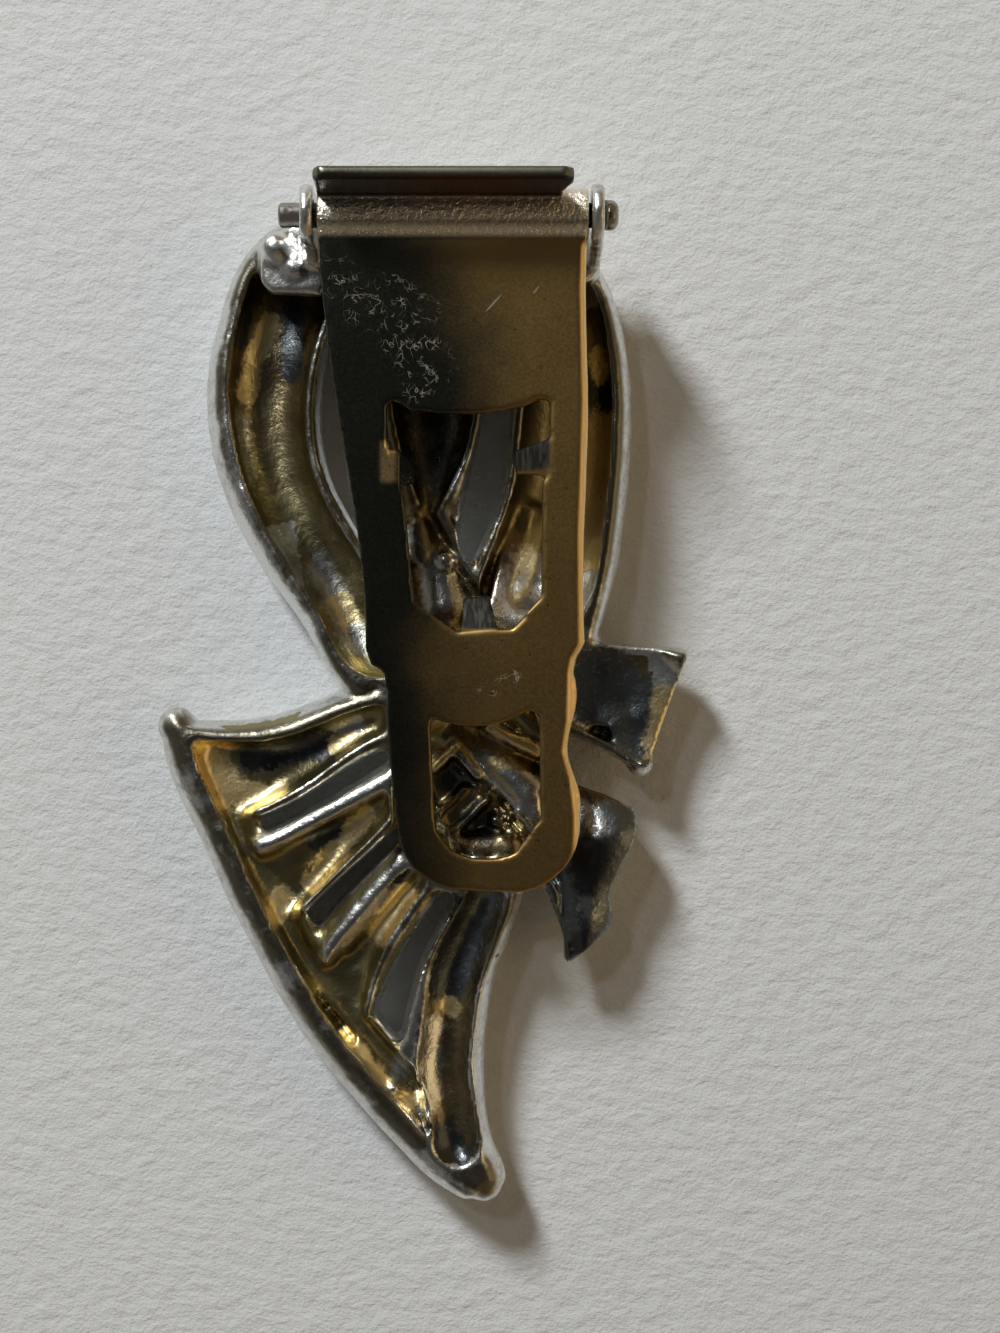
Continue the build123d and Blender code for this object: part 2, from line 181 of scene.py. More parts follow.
def mixColour(tree, factor, first, second):
    made = addNode(tree, "ShaderNodeMix", data_type="RGBA")
    for socket, value in ((made.inputs[0], factor), (made.inputs[6], first), (made.inputs[7], second)):
        if isinstance(value, bpy.types.NodeSocket):
            tree.links.new(value, socket)
        else:
            socket.default_value = value
    return made.outputs[2]


def maths(tree, operation, first, second=0.0, third=0.0):
    made = addNode(tree, "ShaderNodeMath", {0: first, 1: second, 2: third}, operation=operation)
    return made.outputs[0]


def bumpOf(tree, height, distance, strength=1.0, under=None):
    inputs = {"Height": height, "Distance": distance, "Strength": strength}
    if under is not None:
        inputs["Normal"] = under
    return addNode(tree, "ShaderNodeBump", inputs).outputs["Normal"]


# Camera, straight above the clip as it lies on the paper
cameraView = {"x": 0.0043, "y": 0.00197, "height": 0.115, "lens": 54.0, "sensor": 36.0, "near": 0.002,
              "far": 10.0}
cameraData = bpy.data.cameras.new("camera")
cameraData.lens = cameraView["lens"]
cameraData.sensor_width = cameraView["sensor"]
cameraData.clip_start = cameraView["near"]
cameraData.clip_end = cameraView["far"]
camera = bpy.data.objects.new("camera", cameraData)
camera.location = (cameraView["x"], cameraView["y"], cameraView["height"])
scene.collection.objects.link(camera)
scene.camera = camera

# Room: a soft window from the upper left, dark overhead, warmer towards the right, in metres and watts
room = {"leftWall": (0.125, 0.12, 0.11, 1), "rightWall": (0.20, 0.135, 0.065, 1), "wallTurn": (-0.4, 0.5),
        "overhead": (0.03, 0.03, 0.031, 1), "overheadFrom": (0.66, 0.80),
        "lampGlow": (0.82, 0.62, 0.34, 1), "glowFrom": (0.82, -0.1, 0.56), "glowFade": (0.90, 0.94),
        "windowFrom": (-0.40, 0.70, 0.62), "windowDistance": 0.62, "windowSize": (0.085, 0.15),
        "windowPower": 2.95,
        "ceilingFrom": (-0.30, 0.42, 0.86), "ceilingDistance": 0.5, "ceilingSize": (0.03, 0.04),
        "ceilingPower": 0.12, "daylight": (0.93, 0.975, 1.0)}


def makeRoom():
    world = bpy.data.worlds.new("room")
    scene.world = world
    world.use_nodes = True
    tree = world.node_tree
    back = tree.nodes["Background"]
    way = addNode(tree, "ShaderNodeTexCoord").outputs["Generated"]
    axes = addNode(tree, "ShaderNodeSeparateXYZ", {0: way})
    turn = ramp(tree, axes.outputs["X"], *room["wallTurn"])
    walls = mixColour(tree, turn, room["leftWall"], room["rightWall"])
    glowWay = tuple(Vector(room["glowFrom"]).normalized())
    nearGlow = addNode(tree, "ShaderNodeVectorMath", {0: way, 1: glowWay}, operation="DOT_PRODUCT")
    walls = mixColour(tree, ramp(tree, nearGlow.outputs["Value"], *room["glowFade"]), walls, room["lampGlow"])
    colour = mixColour(tree, ramp(tree, axes.outputs["Z"], *room["overheadFrom"]), walls, room["overhead"])
    tree.links.new(colour, back.inputs["Color"])
    back.inputs["Strength"].default_value = 1.0


def areaLight(name):
    # an oblong lamp, turned to the clip
    data = bpy.data.lights.new(name, "AREA")
    data.shape = "RECTANGLE"
    data.size, data.size_y = room[name + "Size"]
    data.energy = room[name + "Power"]
    data.color = room["daylight"]
    lamp = bpy.data.objects.new(name, data)
    way = Vector(room[name + "From"]).normalized()
    lamp.location = way * room[name + "Distance"]
    lamp.rotation_mode = "QUATERNION"
    lamp.rotation_quaternion = way.to_track_quat("Z", "Y")
    scene.collection.objects.link(lamp)


makeRoom()
areaLight("window")
areaLight("ceiling")
print("room lit")

# Paper that the clip lies on, with a tooth of coarse and fine fibres
paper = {"colour": (0.80, 0.80, 0.795, 1), "roughness": 0.9, "reach": 0.5,
         "tooth": 0.00028, "toothStrength": 0.7, "coarse": (1100.0, 4.0, 0.6), "fine": (5200.0, 2.0),
         "fineShare": 0.22, "fibreStretch": (0.72, 1.0, 1.0), "fibreTurn": 0.25}


def paperSheet():
    material, tree, shader = newMaterial("paperSheet")
    where = addNode(tree, "ShaderNodeTexCoord").outputs["Object"]
    fibres = addNode(tree, "ShaderNodeMapping", {"Vector": where, "Scale": paper["fibreStretch"],
                                                 "Rotation": (0, 0, paper["fibreTurn"])}).outputs[0]
    coarse = noiseOf(tree, fibres, *paper["coarse"])
    fine = noiseOf(tree, where, *paper["fine"])
    height = maths(tree, "MULTIPLY_ADD", fine, paper["fineShare"], coarse)
    tree.links.new(bumpOf(tree, height, paper["tooth"], paper["toothStrength"]), shader.inputs["Normal"])
    shader.inputs["Base Color"].default_value = paper["colour"]
    shader.inputs["Roughness"].default_value = paper["roughness"]
    return material


def makePaper():
    mesh = bpy.data.meshes.new("paper")
    far = paper["reach"]
    mesh.from_pydata([(-far, -far, 0), (far, -far, 0), (far, far, 0), (-far, far, 0)], [], [(0, 1, 2, 3)])
    floor = bpy.data.objects.new("paper", mesh)
    scene.collection.objects.link(floor)
    mesh.materials.append(paperSheet())
    print("paper laid")


makePaper()

# Cast ornament: silvery plating outside and warmer in the hollows, with patches of painted reflection,
# highlight and shade. Shapes are in millimetres
casting = {"roughVoxel": 0.2, "voxel": 0.165, "smoothing": 3, "trianglesKept": 190000,
           "unevenness": 0.06, "waves": [(0.45, 1.0), (1.6, 0.4)],
           "silver": (0.84, 0.84, 0.81, 1), "greySilver": (0.46, 0.44, 0.39, 1), "rim": (0.22, 0.20, 0.15, 1),
           "gold": (1.0, 0.80, 0.42, 1), "olive": (0.37, 0.32, 0.17, 1), "brown": (0.24, 0.18, 0.10, 1),
           "dark": (0.09, 0.095, 0.10, 1), "blueDarkReflection": (0.17, 0.19, 0.20, 1),
           "cloud": (420.0, 5.0, 0.6), "drift": (130.0, 2.0), "torn": (1400.0, 4.0, 0.65),
           "speckle": (3600.0, 3.0, 0.6), "skin": (900.0, 4.0),
           "raggedness": {"cloud": 0.45, "torn": 0.8, "speckle": 0.6, "lift": -0.25},
           "greying": (0.5, 1.05), "browning": (0.42, 0.66), "hollowEdge": (0.55, 0.95),
           "rimEdge": (0.36, 0.5), "sparkle": (0.56, 0.68, 0.0, 0.6), "pits": (0.33, 0.27),
           "roughness": (0.3, 0.7, 0.27, 0.38), "gildedRougher": 0.06, "silveredRougher": -0.07,
           "skinHeight": 0.00006, "grainHeight": 0.00002,
           "hollowBelow": (4.45, 4.2), "rimFacesUp": (0.45, 0.75), "rimFrom": (3.95, 4.15),
           "rimUntil": (5.0, 4.7), "endsRightOf": (7.0, 7.6), "endsBelow": (3.4, 2.8)}

# How far each patch of painted light covers the metal below it, in the order they are laid: edge from, edge
# to, most cover
paintedLightCover = {"blue": (0.98, 1.16, 1.0), "silver": (1.05, 1.45, 0.8), "umber": (0.98, 1.2, 1.0),
              "dark": (1.02, 1.36, 1.0), "gold": (1.02, 1.34, 1.0)}

# Folds of the knot, seen through the windows of the lever: from, to, radius and the top at each end
knotFolds = [(0.3, -1.0, 3.5, -2.9, 1.5, 3.4, 3.9), (3.5, -2.9, 5.8, -5.1, 1.45, 3.9, 4.25),
             (5.8, -5.1, 6.6, -6.8, 1.3, 4.25, 4.2), (3.8, -1.5, 6.4, -2.7, 0.42, 4.1, 4.2),
             (5.5, -0.7, 6.8, -1.9, 0.75, 4.0, 4.0), (0.6, -3.7, 1.8, -2.6, 0.3, 4.0, 4.2),
             (1.8, -2.6, 3.1, -4.1, 0.35, 4.2, 4.2), (0.7, -6.4, 2.3, -4.8, 0.2, 4.0, 4.0),
             (1.5, -7.5, 3.6, -5.4, 0.22, 4.0, 4.0), (1.1, -6.9, 2.9, -5.1, 0.6, 3.65, 3.65),
             (2.2, -8.3, 4.9, -8.2, 1.0, 4.0, 4.0), (5.3, -6.1, 5.4, -6.2, 0.4, 4.2, 4.2),
             (4.0, -6.6, 4.2, -6.7, 0.3, 3.8, 3.8), (4.8, -7.3, 5.0, -7.4, 0.4, 4.1, 4.1),
             (1.8, -7.6, 1.9, -7.7, 0.35, 4.1, 4.1), (-0.3, 9.6, -0.1, 8.2, 0.8, 4.1, 4.3),
             (1.0, 10.6, 2.9, 7.0, 0.4, 4.2, 4.2), (0.7, 7.7, 1.1, 5.4, 1.7, 4.1, 4.3),
             (0.9, 4.8, 0.2, -0.6, 1.7, 4.2, 4.2), (5.6, 3.6, 5.2, 0.2, 1.8, 4.2, 4.2),
             (3.0, 2.8, 3.2, 0.6, 1.5, 4.0, 4.0), (1.2, 7.9, 1.4, 7.7, 0.5, 4.5, 4.5)]
knotArea = {"lowBase": 2.8, "highBase": 3.3, "baseRises": (2.0, 5.0), "left": -1.3, "right": 7.0, "low": -8.6,
            "topFades": (11.1, 9.9), "cornerX": 2.9, "cornerY": 4.5, "soft": 0.3}

# Rounded ridges along the slots of the fan: from, to, radius and the top at each end
fanRidges = [(-9.2, -8.1, -1.6, -4.2, 0.65, 4.3, 4.4), (-5.8, -14.6, -1.1, -8.8, 0.55, 4.2, 4.4),
             (-4.4, -13.6, -0.4, -8.9, 0.45, 4.0, 4.3), (-1.4, -21.3, -0.1, -15.1, 0.55, 4.2, 4.3),
             (-0.1, -15.1, 1.8, -11.3, 0.5, 4.3, 4.3)]

# The fan's floor, and the band along its outer edge, which lies at the given distances from that edge
fan = {"edge": [(-14.4, -1.2), (-11.7, -8.3), (-7.9, -15.1), (-3.3, -20.7), (3.2, -26.9)],
       "floor": 2.8, "swell": 0.5, "swellFrequency": 0.3,
       "wall": (0.6, 1.0), "top": (-0.6, -1.4), "right": (4.6, 4.0), "tip": (-27, -26),
       "bandStarts": (0.75, 1.05), "bandEnds": (2.3, 1.9), "bandTop": (-2.2, -3.2), "bandTip": (-24, -23),
       "bandHeight": 3.0, "bandRise": 0.8, "bandSlope": (1.3, 0.8)}

# Dished tail, domed leaf, facet in the upper window and dished ribbon end. Each line has x, y, radius and
# height, and the rise is that of its rim above the line
dishes = [{"line": [(3.5, -11.1, 1.2, 3.4), (1.8, -15.1, 1.4, 3.2), (1.2, -20.1, 1.45, 3.2),
                    (1.9, -24.4, 1.4, 3.5)], "rise": 0.9},
          {"line": [(9.4, -5.4, 2.6, 4.2), (9.9, -7.4, 2.3, 5.1), (9.4, -9.4, 1.9, 4.85),
                    (9.1, -12.0, 1.4, 4.65), (9.0, -13.7, 0.8, 4.4)], "rise": -0.8},
          {"line": [(6.2, 9.6, 1.5, 2.2), (5.4, 4.4, 2.0, 4.1)], "rise": 0.2},
          {"line": [(9.4, 0.8, 2.2, 3.6), (12.2, 0.7, 2.3, 3.7), (12.6, -1.0, 2.3, 3.7)], "rise": 0.35}]
dishRim = {"riseUntil": 1.1, "blend": (1.12, 0.95), "facesUp": (-0.4, -0.1), "above": (1.0, 1.6)}

# Patches of painted reflection, highlight and shade as lines with a width, in millimetres: x0, y0, x1, y1,
# radius
paintedLightPatches = {
    # gold: painted bright reflection and highlight in the yellow plating
    "gold": [(-12.4, -2.7, -11.0, -4.9, 1.15), (-11.0, -4.9, -8.0, -5.2, 0.55),
             (-4.8, -2.4, -4.2, -2.1, 0.5), (-3.2, -6.4, -6.3, -10.2, 0.6), (-8.1, -11.9, -7.9, -11.0, 0.6),
             (-1.0, -11.0, -2.1, -12.8, 0.9), (-4.3, -18.9, -2.1, -21.4, 0.55),
             (0.4, -11.3, -0.3, -15.2, 0.4), (1.5, -17.0, 1.7, -17.2, 0.5), (-1.6, -21.7, -0.6, -22.2, 0.5),
             (13.4, 0.4, 12.8, -2.4, 0.65), (-8.7, 21.4, -9.3, 19.7, 0.6), (-9.5, 19.3, -10.0, 17.2, 0.5),
             (9.9, 15.5, 9.7, 6.5, 1.0), (9.7, 19.6, 10.0, 18.2, 0.4), (-4.6, 5.4, -4.3, 4.9, 0.7),
             (1.4, 7.9, 1.6, 7.7, 0.35), (3.6, -1.3, 6.3, -2.7, 0.35), (3.9, -3.4, 6.2, -5.6, 0.45),
             (0.6, -3.7, 1.8, -2.5, 0.3)],
    # dark: painted dark reflection and painted shade
    "dark": [(-7.5, 22.0, -7.5, 18.8, 0.75), (-10.2, 21.9, -10.2, 20.2, 0.5), (9.4, -8.6, 9.3, -9.2, 1.3),
             (9.0, -13.4, 8.9, -13.6, 0.9), (-9.7, -3.2, -5.4, -2.4, 0.85), (-6.0, -7.8, -4.3, -7.0, 0.55),
             (2.1, -11.0, 0.9, -15.8, 0.9), (10.1, 18.0, 10.2, 16.3, 0.8), (0.9, -24.5, 3.2, -26.7, 1.3),
             (-0.7, -8.2, -1.6, -9.9, 0.6), (0.5, 21.0, 0.6, 13.0, 1.5), (1.8, -4.1, 2.0, -4.3, 1.0),
             (3.1, -6.7, 3.3, -6.9, 1.0)],
    # blue: painted dark bluish reflection on the ribbon end, the leaf and the tail
    "blue": [(9.6, 0.9, 12.0, -1.2, 1.8), (9.4, -6.0, 9.3, -9.0, 2.2), (9.2, -9.0, 9.0, -13.6, 1.9),
             (3.2, -11.0, 1.5, -15.6, 0.9)],
    # umber: brown, and on the wall below the right ribbon end a painted reflection of the shaded paper
    "umber": [(-2.0, 16.8, -1.5, 10.5, 0.9), (9.6, -5.0, 7.2, -3.6, 0.6)],
    # silver: painted highlights on ridges, folds, the lit facet and the leaf, and one solder spot
    "silver": [(-10.4, 15.8, -9.8, 9.4, 0.6), (-9.3, 8.6, -6.6, 3.0, 0.8), (-6.0, 7.8, -3.8, 3.2, 0.8),
               (-9.0, -3.6, -3.6, -1.2, 0.5), (-9.2, -8.1, -1.6, -4.2, 0.6),
               (-5.4, -14.2, -0.8, -8.8, 0.55), (1.2, 6.5, 1.1, 6.3, 1.5), (4.6, 4.8, 5.8, 7.4, 1.3),
               (3.6, -3.6, 6.5, -6.4, 0.9), (-1.4, -21.3, -0.1, -15.1, 0.5), (0.6, -18.0, 0.2, -22.6, 0.7),
               (9.0, -5.6, 9.8, -7.2, 0.6), (9.1, -11.2, 9.2, -11.5, 0.6)],
}

# Where the hollows are smoothed, which leaves the knot's folds sharp
softArea = {"rounds": 25, "least": 0.05, "below": (4.3, 3.8), "fromFanEdge": (0.7, 1.1),
            "knotX": (-1.3, 6.9, 0.5), "knotY": (-8.7, 10.3, 0.5)}

# Rays that tell the hollows from the outer walls and the slots
hollowTest = {"leastUp": -0.35, "lift": 0.3, "lowLift": 0.08, "reach": 15.0}


def alongLine(x, y, x0, y0, x1, y1):
    # 0 at the line's start, 1 at its end
    runX, runY = x1 - x0, y1 - y0
    return np.clip(((x - x0) * runX + (y - y0) * runY) / (runX ** 2 + runY ** 2), 0, 1)


def awayFromLine(x, y, x0, y0, x1, y1):
    along = alongLine(x, y, x0, y0, x1, y1)
    return np.hypot(x - x0 - along * (x1 - x0), y - y0 - along * (y1 - y0))


def patchField(x, y, patches):
    # 1 in the middle of a patch, 0.5 at its radius, 0 at twice that
    field = np.zeros(len(x))
    for x0, y0, x1, y1, radius in patches:
        field = np.maximum(field, 1 - awayFromLine(x, y, x0, y0, x1, y1) / (2 * radius))
    return field


def raiseFolds(x, y, top, folds):
    for x0, y0, x1, y1, radius, peak0, peak1 in folds:
        along = alongLine(x, y, x0, y0, x1, y1)
        away = np.minimum(awayFromLine(x, y, x0, y0, x1, y1), radius)
        bulge = peak0 + (peak1 - peak0) * along - radius + np.sqrt(radius ** 2 - away ** 2)
        top = np.where(away < radius, np.maximum(top, bulge), top)
    return top


def facingUp(normals):
    # 1 on surfaces that look up, 0 on walls and undersides
    return step(normals[:, 2], 0.1, 0.4)


def sculptKnot(mesh):
    points = pointsOf(mesh)
    x, y, z = points.T
    rise = knotArea["highBase"] - knotArea["lowBase"]
    top = knotArea["lowBase"] + rise * step(y, *knotArea["baseRises"])
    top = raiseFolds(x, y, top, knotFolds)
    soft = knotArea["soft"]
    share = between(x, knotArea["left"], knotArea["right"], soft)
    share *= step(y, knotArea["low"] - soft, knotArea["low"]) * step(y, *knotArea["topFades"])
    corner = step(x, knotArea["cornerX"], knotArea["cornerX"] + soft)
    corner *= step(y, knotArea["cornerY"] - soft, knotArea["cornerY"])
    share *= (1 - corner) * facingUp(normalsOf(mesh))
    z += (top - z) * share
    setPoints(mesh, points)


def overFloor(mesh, points, normals):
    # 1 in the hollows, with the casting below and all round, and 0 on the outer walls and in the slots
    faces = [tuple(face.vertices) for face in mesh.polygons]
    tree = BVHTree.FromPolygons([tuple(point) for point in points], faces)
    down = Vector((0, 0, -1))
    sideways = [Vector(way) for way in ((1, 0, 0), (-1, 0, 0), (0, 1, 0), (0, -1, 0))]
    inside = np.zeros(len(points))
    for index in np.nonzero(normals[:, 2] > hollowTest["leastUp"])[0]:
        start = Vector(points[index] + normals[index] * hollowTest["lift"])
        if tree.ray_cast(start, down)[0] is not None:
            low = Vector(points[index] + normals[index] * hollowTest["lowLift"])
            inside[index] = all(tree.ray_cast(low, way, hollowTest["reach"])[0] is not None
                                for way in sideways)
    return inside


def fanDistance(x, y):
    # distance from the fan's outer edge, in millimetres
    away = [awayFromLine(x, y, *start, *end) for start, end in zip(fan["edge"], fan["edge"][1:])]
    return np.min(away, axis=0)


def shapeFan(points, inside):
    x, y, z = points.T
    fromEdge = fanDistance(x, y)
    inFan = inside * step(fromEdge, *fan["wall"]) * step(x, *fan["right"])
    inFan *= step(y, *fan["top"]) * step(y, *fan["tip"])
    floor = fan["floor"] + fan["swell"] * noiseAt(points * (1, 1, 0), fan["swellFrequency"])
    z += np.maximum(floor - z, 0) * inFan
    band = step(fromEdge, *fan["bandStarts"]) * step(fromEdge, *fan["bandEnds"]) * inside
    band *= step(y, *fan["bandTop"]) * step(y, *fan["bandTip"])
    z += (fan["bandHeight"] + fan["bandRise"] * step(fromEdge, *fan["bandSlope"]) - z) * band
    ridges = raiseFolds(x, y, np.zeros(len(x)), fanRidges)
    z += np.maximum(ridges - z, 0) * inside * (1 - band)


def shapeDish(points, dish, upward):
    x, y, z = points.T
    share = np.full(len(x), np.inf)
    height = np.zeros(len(x))
    for (x0, y0, radius0, height0), (x1, y1, radius1, height1) in zip(dish["line"], dish["line"][1:]):
        along = alongLine(x, y, x0, y0, x1, y1)
        ratio = awayFromLine(x, y, x0, y0, x1, y1) / (radius0 + (radius1 - radius0) * along)
        nearer = ratio < share
        share = np.where(nearer, ratio, share)
        height = np.where(nearer, height0 + (height1 - height0) * along, height)
    target = height + dish["rise"] * np.minimum(share, dishRim["riseUntil"]) ** 2
    z += (target - z) * step(share, *dishRim["blend"]) * upward


def shapeHollows(mesh):
    points = pointsOf(mesh)
    normals = normalsOf(mesh)
    shapeFan(points, overFloor(mesh, points, normals))
    upward = step(normals[:, 2], *dishRim["facesUp"]) * step(points[:, 2], *dishRim["above"])
    for dish in dishes:
        shapeDish(points, dish, upward)
    setPoints(mesh, points)


def softenHollows(piece):
    points = pointsOf(piece.data)
    x, y, z = points.T
    share = overFloor(piece.data, points, normalsOf(piece.data))
    share *= step(z, *softArea["below"]) * step(fanDistance(x, y), *softArea["fromFanEdge"])
    share *= 1 - between(x, *softArea["knotX"]) * between(y, *softArea["knotY"])
    group = piece.vertex_groups.new(name="hollows")
    for index in np.nonzero(share > softArea["least"])[0]:
        group.add([int(index)], float(share[index]), "REPLACE")
    soften = piece.modifiers.new("soften hollows", "SMOOTH")
    soften.iterations = softArea["rounds"]
    soften.factor = 0.5
    soften.vertex_group = "hollows"
    thin = piece.modifiers.new("thin out", "DECIMATE")
    thin.ratio = casting["trianglesKept"] / (2 * len(piece.data.polygons))  # a square is two triangles
    bakeModifiers(piece)
    piece.vertex_groups.clear()


def writeMetalFields(mesh, points, normals):
    # the fields that the casting's metal reads, with the patches of painted reflection, highlight and shade
    x, y, z = points.T
    inside = overFloor(mesh, points, normals)
    upward = facingUp(normals)
    onEnds = step(x, *casting["endsRightOf"]) * step(y, *casting["endsBelow"]) * upward
    hollowsAndEnds = np.maximum(inside, onEnds)
    shown = {"gold": hollowsAndEnds, "dark": hollowsAndEnds, "silver": upward, "blue": upward, "umber": 1.0}
    for name, patches in paintedLightPatches.items():
        writeField(mesh, name, patchField(x, y, patches) * shown[name])
    writeField(mesh, "hollow", inside * step(z, *casting["hollowBelow"]))
    onRim = step(normals[:, 2], *casting["rimFacesUp"])
    writeField(mesh, "rim", onRim * step(z, *casting["rimFrom"]) * step(z, *casting["rimUntil"]))


def castingMetal():
    material, tree, shader = newMaterial("platedCasting")
    where = addNode(tree, "ShaderNodeTexCoord").outputs["Object"]
    cloud = noiseOf(tree, where, *casting["cloud"])
    drift = noiseOf(tree, where, *casting["drift"])
    speckle = noiseOf(tree, where, *casting["speckle"])
    torn = noiseOf(tree, where, *casting["torn"])
    shares = casting["raggedness"]
    ragged = maths(tree, "MULTIPLY_ADD", cloud, shares["cloud"],
                   maths(tree, "MULTIPLY_ADD", torn, shares["torn"], shares["lift"]))
    ragged = maths(tree, "MULTIPLY_ADD", speckle, shares["speckle"], ragged)
    outside = mixColour(tree, ramp(tree, ragged, *casting["greying"]), casting["silver"],
                        casting["greySilver"])
    within = mixColour(tree, ramp(tree, drift, *casting["browning"]), casting["olive"], casting["brown"])
    hollow = maths(tree, "MULTIPLY_ADD", speckle, 0.5, fieldOf(tree, "hollow"))
    colour = mixColour(tree, ramp(tree, hollow, *casting["hollowEdge"]), outside, within)
    rimmed = maths(tree, "MULTIPLY", fieldOf(tree, "rim"), ramp(tree, cloud, *casting["rimEdge"]))
    colour = mixColour(tree, rimmed, colour, casting["rim"])
    # blue painted dark reflection, speckled with grey
    sparkle = ramp(tree, speckle, *casting["sparkle"])
    blueReflectionMetal = mixColour(tree, sparkle, casting["blueDarkReflection"], casting["greySilver"])
    coats = {"blue": blueReflectionMetal, "silver": casting["silver"], "umber": casting["brown"],
             "dark": casting["dark"], "gold": casting["gold"]}
    # lay the patches of painted reflection, highlight and shade over the metal, one colour at a time
    covered = {}
    for name, (low, high, most) in paintedLightCover.items():
        edge = maths(tree, "ADD", fieldOf(tree, name), ragged)
        covered[name] = ramp(tree, edge, low, high, 0.0, most)
        colour = mixColour(tree, covered[name], colour, coats[name])
    colour = mixColour(tree, ramp(tree, speckle, *casting["pits"]), colour, casting["brown"])
    tree.links.new(colour, shader.inputs["Base Color"])
    shader.inputs["Metallic"].default_value = 1.0
    rough = ramp(tree, cloud, *casting["roughness"])
    rough = maths(tree, "MULTIPLY_ADD", covered["gold"], casting["gildedRougher"], rough)
    rough = maths(tree, "MULTIPLY_ADD", covered["silver"], casting["silveredRougher"], rough)
    tree.links.new(rough, shader.inputs["Roughness"])
    skin = bumpOf(tree, noiseOf(tree, where, *casting["skin"]), casting["skinHeight"], 0.9)
    tree.links.new(bumpOf(tree, speckle, casting["grainHeight"], 0.8, skin), shader.inputs["Normal"])
    return material


def makeCasting():
    piece = cadCopy("ribbon_ornament", "ornamentCasting")
    reskin(piece, casting["roughVoxel"], 1)
    sculptKnot(piece.data)
    shapeHollows(piece.data)
    reskin(piece, casting["voxel"], casting["smoothing"])
    softenHollows(piece)
    mesh = piece.data
    points = pointsOf(mesh)
    normals = normalsOf(mesh)
    push = sum(share * noiseAt(points, frequency) for frequency, share in casting["waves"])
    setPoints(mesh, points + normals * (push * casting["unevenness"])[:, None])
    writeMetalFields(mesh, points, normals)
    place(piece, "ornament", "plated_casting", castingMetal(), "ribbon_ornament")


makeCasting()

# Lever: stamped satin brass sheet with a rolled barrel and a thumb flange. Shapes are in millimetres
lever = {"voxel": 0.13, "smoothing": 4, "rolledEdge": 0.5, "rolledDrop": 0.3, "warp": 0.03,
         "warpFrequency": 0.25,
         # dark paints the plate's left side as a painted dark reflection, and also the dark flecks
         "brass": (0.33, 0.21, 0.075, 1), "dark": (0.07, 0.07, 0.052, 1), "nickel": (0.92, 0.84, 0.70, 1),
         # brightEdge paints a highlight along the rolled right edge and on the bent left tooth
         "brightEdge": (0.95, 0.68, 0.33, 1), "steel": (0.06, 0.057, 0.05, 1),
         "darkSteel": (0.15, 0.145, 0.125, 1),
         # blueBlack and redBrown paint a reflection on the flange's inner face
         "flangeEdge": (0.17, 0.16, 0.115, 1), "blueBlack": (0.032, 0.03, 0.034, 1),
         "redBrown": (0.085, 0.032, 0.02, 1), "lint": (0.27, 0.25, 0.19, 1),
         "grain": (7000.0, 2.0), "flecks": (2600.0, 2.0), "fleckEdge": (0.30, 0.24), "streaks": (900.0, 2.0),
         "streakStretch": (6.0, 1.0, 1.0), "streakEdge": (0.4, 0.65), "tumbled": (3000.0, 3.0, 0.7),
         "roughness": (0.3, 0.7, 0.38, 0.44), "paintedReflectionRougher": -0.12, "tumbledHeight": 0.00016,
         "grainHeight": 0.000005,
         "plateBelow": (24.6, 24.0), "barrelFrom": (24.5, 24.9), "barrelUntil": (10.4, 10.0),
         "flangeFrom": (10.0, 10.4), "flangeInner": (9.6, 10.0), "edgeHighlightFrom": (0.2, 0.6),
         "redMiddle": 2.6, "redFade": (6.0, 1.0), "darkDrift": [(0.22, 1.6), (0.9, 0.5)],
         "darkFade": (-3.4, 2.4)}

# Bent teeth of the upper window, across and along the lever: from, to, soft edge
teeth = {"right": ((5.0, 6.85, 0.2), (12.6, 14.4, 0.2)), "low": ((2.1, 4.2, 0.2), (4.1, 6.4, 0.2)),
         "left": ((-1.9, -1.4, 0.3), (12.0, 13.7, 0.4))}

# The lever's right edge and the end of its painted dark reflection, as y and x at that y
rightEdge = [(-6, 8.6), (-4, 8.35), (-2.6, 7.95), (-1, 8.2), (1.6, 8.25), (2.4, 8.4), (3.2, 8.85), (9, 8.8),
             (16, 9.0), (22, 8.85), (25.3, 8.98)]
darkUntil = [(-11, 0.2), (3, 0.4), (10, 1.5), (16, 3.6), (20, 2.2), (24, 0.6), (26, -1.5)]

# Lint as x0, y0, x1, y1, radius, and scratches as x, y, half length and turn
lintAreas = [(-4.4, 22.6, -2.8, 20.8, 0.9), (-1.6, 22.2, 0.4, 20.8, 0.6), (-1.0, 19.6, 0.7, 17.8, 1.1),
             (-0.4, 18.0, -0.2, 16.2, 0.6), (3.5, 0.6, 5.0, 1.4, 0.35)]
scratches = [(3.97, 21.2, 0.72, 0.83), (6.2, 21.87, 0.3, 0.9)]
scratchSize = {"height": 9.5, "halfWidth": 0.06, "depth": 10.0}
threadNoises = [(900.0, (0, 0, 0)), (1500.0, (0.03, 0.01, 0.02)), (1200.0, (0.07, 0.05, 0.01))]


def lintThreads(tree, where):
    # curly threads of lint follow the middle contour of three noises
    threads = 0.0
    for scale, shift in threadNoises:
        moved = addNode(tree, "ShaderNodeVectorMath", {0: where, 1: shift}, operation="ADD").outputs[0]
        away = maths(tree, "ABSOLUTE", maths(tree, "SUBTRACT", noiseOf(tree, moved, scale, 1.5, 0.6), 0.5))
        threads = maths(tree, "MAXIMUM", ramp(tree, away, 0.010, 0.003), threads)
    broken = ramp(tree, noiseOf(tree, where, 1500.0, 2.0), 0.44, 0.58)
    there = ramp(tree, fieldOf(tree, "lint"), 0.2, 0.6)
    return maths(tree, "MULTIPLY", maths(tree, "MULTIPLY", threads, broken), there)


